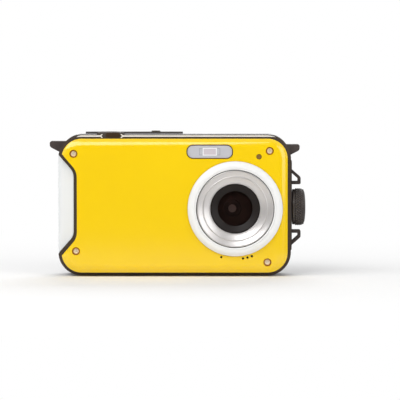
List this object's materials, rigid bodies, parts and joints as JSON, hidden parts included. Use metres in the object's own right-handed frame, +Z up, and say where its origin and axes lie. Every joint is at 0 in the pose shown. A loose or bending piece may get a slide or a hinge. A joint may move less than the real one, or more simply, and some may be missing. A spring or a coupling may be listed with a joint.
{
  "type": "waterproof digital camera",
  "caption": "Compact waterproof camera with a sealed plate front, a large lens ring, a knob-locked battery door, a rear display and keys.",
  "frame": {"origin": "mouth of the tripod socket, at the middle of the underside", "axes": "+X to the battery door, +Y to the display at the back, +Z up; the lens looks along -Y"},
  "size_m": [0.1083, 0.0279, 0.0609],
  "materials": {
    "yellow_plate": "satin",
    "dark_housing": "satin",
    "pale_grip": "matte",
    "silver_trim": "polished",
    "white_ring": "satin",
    "silver_cone": "turned",
    "black_bezel": "gloss",
    "clear_glass": "polished",
    "flash_pane": "fluted",
    "display_glass": "polished",
    "mirror_metal": "polished",
    "button_brown": "gloss",
    "grey_keys": "satin",
    "seal_rubber": "matte",
    "screw_steel": "plated",
    "nut_brass": "turned",
    "board_green": "satin",
    "chip_black": "matte",
    "panel_grey": "gloss",
    "card_steel": "brushed",
    "battery_case": "matte"
  },
  "bodies": {
    "root": {"front_cover": "yellow_plate", "mid_housing": "dark_housing", "rear_cover": "dark_housing", "top_panel": "dark_housing", "strap_lug_left": "dark_housing", "strap_lug_right": "dark_housing", "side_grip": "pale_grip", "top_trim": "silver_trim", "lens_ring": "white_ring", "lens_cone": "silver_cone", "lens_bezel": "black_bezel", "lens_barrel": "black_bezel", "lens_holder": "black_bezel", "lens_window": "clear_glass", "lens_elements": "clear_glass", "flash_window": "flash_pane", "flash_tube": "flash_pane", "display_window": "display_glass", "flash_reflector": "mirror_metal", "front_gasket": "seal_rubber", "rear_gasket": "seal_rubber", "lens_seal": "seal_rubber", "button_seals": "seal_rubber", "key_mat": "seal_rubber", "front_screws": "screw_steel", "rear_screws": "screw_steel", "hinge_pin": "screw_steel", "tripod_nut": "nut_brass", "battery_contacts": "nut_brass", "main_board": "board_green", "top_switches": "board_green", "image_sensor": "board_green", "main_chips": "chip_black", "key_switches": "chip_black", "microphone": "chip_black", "speaker": "chip_black", "battery_bay": "chip_black", "flash_capacitor": "chip_black", "display_panel": "panel_grey", "timer_lamp": "panel_grey", "card_socket": "card_steel", "battery": "battery_case"},
    "door": {"battery_door": "dark_housing", "door_seal": "seal_rubber", "knob_seal": "seal_rubber"},
    "knob": {"lock_knob": "dark_housing", "latch_bar": "screw_steel", "latch_screw": "screw_steel"},
    "shutter": {"shutter_button": "button_brown"},
    "power": {"power_button": "button_brown"},
    "zoom_out_key": {"zoom_out_key": "grey_keys"},
    "zoom_in_key": {"zoom_in_key": "grey_keys"},
    "play_key": {"play_key": "grey_keys"},
    "mode_key": {"mode_key": "grey_keys"},
    "ok_key": {"ok_key": "grey_keys"},
    "up_key": {"up_key": "grey_keys"},
    "down_key": {"down_key": "grey_keys"},
    "left_key": {"left_key": "grey_keys"},
    "right_key": {"right_key": "grey_keys"},
    "menu_key": {"menu_key": "grey_keys"}
  },
  "joints": [
    {"name": "door_hinge", "type": "hinge", "parent": "root", "child": "door", "pos_m": [0.0479, 0, 0.0107], "axis": [0, 1, 0], "range_deg": [0, 95]},
    {"name": "knob_turn", "type": "hinge", "parent": "door", "child": "knob", "pos_m": [0.0515, 0, 0.0287], "axis": [1, 0, 0], "range_deg": [0, 90]},
    {"name": "shutter_press", "type": "slide", "parent": "root", "child": "shutter", "axis": [0, 0, -1], "range_m": [0, 0.0008], "stiffness_N_per_m": 600},
    {"name": "power_press", "type": "slide", "parent": "root", "child": "power", "axis": [0, 0, -1], "range_m": [0, 0.0005], "stiffness_N_per_m": 600},
    {"name": "zoom_out_key_press", "type": "slide", "parent": "root", "child": "zoom_out_key", "axis": [0, -1, 0], "range_m": [0, 0.0006], "stiffness_N_per_m": 500},
    {"name": "zoom_in_key_press", "type": "slide", "parent": "root", "child": "zoom_in_key", "axis": [0, -1, 0], "range_m": [0, 0.0006], "stiffness_N_per_m": 500},
    {"name": "play_key_press", "type": "slide", "parent": "root", "child": "play_key", "axis": [0, -1, 0], "range_m": [0, 0.0006], "stiffness_N_per_m": 500},
    {"name": "mode_key_press", "type": "slide", "parent": "root", "child": "mode_key", "axis": [0, -1, 0], "range_m": [0, 0.0006], "stiffness_N_per_m": 500},
    {"name": "ok_key_press", "type": "slide", "parent": "root", "child": "ok_key", "axis": [0, -1, 0], "range_m": [0, 0.0006], "stiffness_N_per_m": 500},
    {"name": "up_key_press", "type": "slide", "parent": "root", "child": "up_key", "axis": [0, -1, 0], "range_m": [0, 0.0006], "stiffness_N_per_m": 500},
    {"name": "down_key_press", "type": "slide", "parent": "root", "child": "down_key", "axis": [0, -1, 0], "range_m": [0, 0.0006], "stiffness_N_per_m": 500},
    {"name": "left_key_press", "type": "slide", "parent": "root", "child": "left_key", "axis": [0, -1, 0], "range_m": [0, 0.0006], "stiffness_N_per_m": 500},
    {"name": "right_key_press", "type": "slide", "parent": "root", "child": "right_key", "axis": [0, -1, 0], "range_m": [0, 0.0006], "stiffness_N_per_m": 500},
    {"name": "menu_key_press", "type": "slide", "parent": "root", "child": "menu_key", "axis": [0, -1, 0], "range_m": [0, 0.0006], "stiffness_N_per_m": 500}
  ]
}
